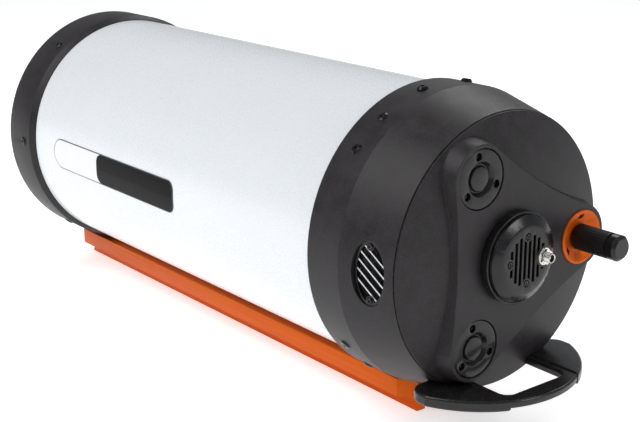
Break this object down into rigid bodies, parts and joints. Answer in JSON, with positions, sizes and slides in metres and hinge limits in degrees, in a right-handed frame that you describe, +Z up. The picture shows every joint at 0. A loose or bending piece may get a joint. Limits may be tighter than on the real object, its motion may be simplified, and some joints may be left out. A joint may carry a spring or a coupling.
{
  "type": "prime-focus schmidt telescope",
  "caption": "Short, very fast telescope tube with a front corrector and camera port, a ventilated rear cell, a focus knob, a dovetail rail and a carry handle.",
  "frame": {"origin": "bottom centre of the whole, on the surface that the rail's foot rests on", "axes": "+Y along the optical axis towards the sky, +X to the right seen from behind, +Z up"},
  "size_m": [0.2476, 0.6758, 0.2767],
  "materials": {
    "white_enamel": "gloss enamel",
    "cell_texture": "fine matt texture paint",
    "black_screw": "blackened",
    "coated_glass": "polished, coated",
    "cork": "plain",
    "black_anodised": "black anodised",
    "steel": "ground",
    "orange_anodised": "orange anodised satin",
    "rubber": "matt",
    "plate_border": "bare",
    "silvered_glass": "polished",
    "brass": "turned",
    "black_plastic": "satin moulded",
    "mesh_steel": "fine woven",
    "bright_nickel": "plated",
    "handle_plastic": "moulded",
    "light_plate": "bare",
    "dark_plate": "bare"
  },
  "bodies": {
    "root": {"optical_tube": "white_enamel", "front_cell": "cell_texture", "rear_cell": "cell_texture", "front_cell_screws": "black_screw", "corrector_plate": "coated_glass", "corrector_shims": "cork", "corrector_retaining_ring": "black_anodised", "retaining_ring_screws": "black_screw", "lens_cell": "black_anodised", "lens_cell_retainer": "black_anodised", "collimation_screws": "steel", "lens_spacers": "black_anodised", "lens_lock_ring": "black_anodised", "optical_window": "coated_glass", "adapter_collar": "orange_anodised", "rear_cell_screws": "black_screw", "finder_screws": "black_screw", "mirror_support_cap_upper": "cell_texture", "mirror_support_cap_lower": "cell_texture", "guide_post_upper": "steel", "guide_post_lower": "steel", "cap_screws": "black_screw", "focuser_flange": "orange_anodised", "bearing_housing": "black_anodised", "focus_bearing": "steel", "fan_frame": "black_plastic", "fan_filter_mesh": "mesh_steel", "fan_cover": "black_plastic", "fan_cover_screws": "black_screw", "dc_jack": "bright_nickel", "dc_jack_nut": "bright_nickel", "side_vent_left": "black_plastic", "side_vent_right": "black_plastic", "vent_mesh_left": "mesh_steel", "vent_mesh_right": "mesh_steel", "vent_screws": "black_screw", "dovetail_rail": "orange_anodised", "rail_screws": "black_screw", "carry_handle": "handle_plastic", "handle_screws": "black_screw", "name_plate_light": "light_plate", "name_plate_dark": "dark_plate", "name_plate_border": "plate_border", "vent_slats": "steel", "lens_element_1": "coated_glass", "lens_element_2": "coated_glass", "lens_element_3": "coated_glass", "lens_element_4": "coated_glass"},
    "mirror_carriage": {"primary_mirror": "silvered_glass", "mirror_carrier": "black_anodised", "mirror_pads": "cork", "mirror_lock_ring": "black_anodised", "linear_bearings": "steel", "focus_nut": "brass"},
    "focus_knob": {"focus_shaft": "steel", "knob_core": "black_anodised", "knob_grip": "rubber", "knob_end_cap": "black_plastic"},
    "fan_rotor": {"fan_rotor": "black_plastic"},
    "camera_adapter": {"camera_adapter": "black_anodised"}
  },
  "joints": [
    {"name": "focus_turn", "type": "hinge", "parent": "root", "child": "focus_knob", "pos_m": [0.0772, -0.3019, 0.1534], "axis": [0, 1, 0], "range_deg": [-1800, 1800]},
    {"name": "mirror_slide", "type": "slide", "parent": "root", "child": "mirror_carriage", "axis": [0, 1, 0], "range_m": [-0.00375, 0.00375]},
    {"name": "fan_spin", "type": "hinge", "parent": "root", "child": "fan_rotor", "pos_m": [0, -0.2839, 0.1534], "axis": [0, 1, 0], "continuous": true},
    {"name": "camera_turn", "type": "hinge", "parent": "root", "child": "camera_adapter", "pos_m": [0, 0.3139, 0.1534], "axis": [0, 1, 0], "continuous": true}
  ],
  "couplings": [
    {"joint": "focus_turn", "follows": "mirror_slide", "rad_per_m": 8377.6}
  ]
}
